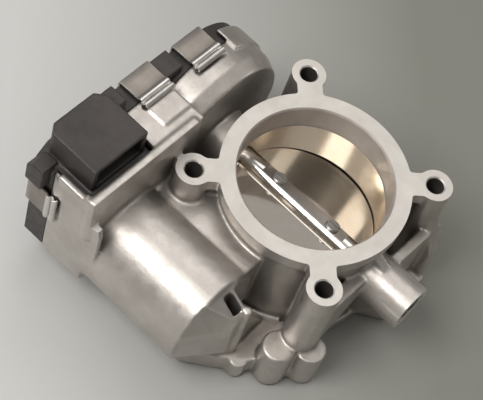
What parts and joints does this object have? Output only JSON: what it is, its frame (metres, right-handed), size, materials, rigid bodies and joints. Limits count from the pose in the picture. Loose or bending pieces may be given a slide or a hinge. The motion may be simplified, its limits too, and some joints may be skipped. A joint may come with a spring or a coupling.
{
  "type": "electronic throttle body",
  "caption": "Electronic throttle body: cast body with round throat, plate on a shaft turned by a motor through two gear stages, clipped cover with connector.",
  "frame": {"origin": "centre of the throat on the machined front face", "axes": "+Z along the throat out of the front face, +X along the throttle shaft away from the gear case, motor on the -Y side"},
  "size_m": [0.1288, 0.1253, 0.0869],
  "materials": {
    "cast_aluminium": "satin as-cast, machined on the front face, holes and throat",
    "steel": "machined",
    "plate_metal": "turned and polished",
    "spring_steel": "oiled wire",
    "clip_steel": "satin strip",
    "black_plastic": "fine grained moulding",
    "gear_plastic": "smooth moulding",
    "copper": "enamelled or plain copper",
    "brass": "machined",
    "magnet": "dull ferrite, iron laminations and carbon",
    "rubber": "matt",
    "board": "coated track board"
  },
  "bodies": {
    "housing": {"throttle_housing": "cast_aluminium", "bearing_plug": "steel", "needle_bearings": "steel", "shaft_seals": "rubber", "return_spring": "spring_steel", "intermediate_pin": "steel", "motor_can": "steel", "motor_magnets": "magnet", "motor_bushes": "brass", "wave_washer": "spring_steel", "motor_end_cap": "black_plastic", "motor_brushes": "magnet", "motor_terminals": "copper", "motor_screws": "steel", "gear_cover": "black_plastic", "connector_terminals": "brass", "sensor_board": "board", "cover_gasket": "rubber", "cover_clips": "clip_steel"},
    "throttle": {"throttle_shaft": "steel", "throttle_plate": "plate_metal", "plate_screws": "steel", "throttle_gear": "gear_plastic", "gear_insert": "steel", "wiper_contacts": "brass"},
    "intermediate": {"intermediate_gear": "gear_plastic"},
    "rotor": {"armature_core": "magnet", "armature_windings": "copper", "commutator": "copper", "motor_shaft": "steel", "motor_pinion": "brass"}
  },
  "joints": [
    {"name": "throttle_turn", "type": "hinge", "parent": "housing", "child": "throttle", "pos_m": [0, 0, -0.025], "axis": [-1, 0, 0], "range_deg": [-8, 76.5], "stiffness_Nm_per_rad": 0.1, "deforming": ["return_spring"]},
    {"name": "intermediate_turn", "type": "hinge", "parent": "housing", "child": "intermediate", "pos_m": [0, -0.03595, -0.02318], "axis": [-1, 0, 0], "range_deg": [-348, 37]},
    {"name": "motor_turn", "type": "hinge", "parent": "housing", "child": "rotor", "pos_m": [0, -0.058, -0.029], "axis": [-1, 0, 0], "range_deg": [-153, 1453]}
  ],
  "couplings": [
    {"joint": "intermediate_turn", "follows": "throttle_turn", "ratio": -4.5385},
    {"joint": "motor_turn", "follows": "throttle_turn", "ratio": 18.979}
  ]
}
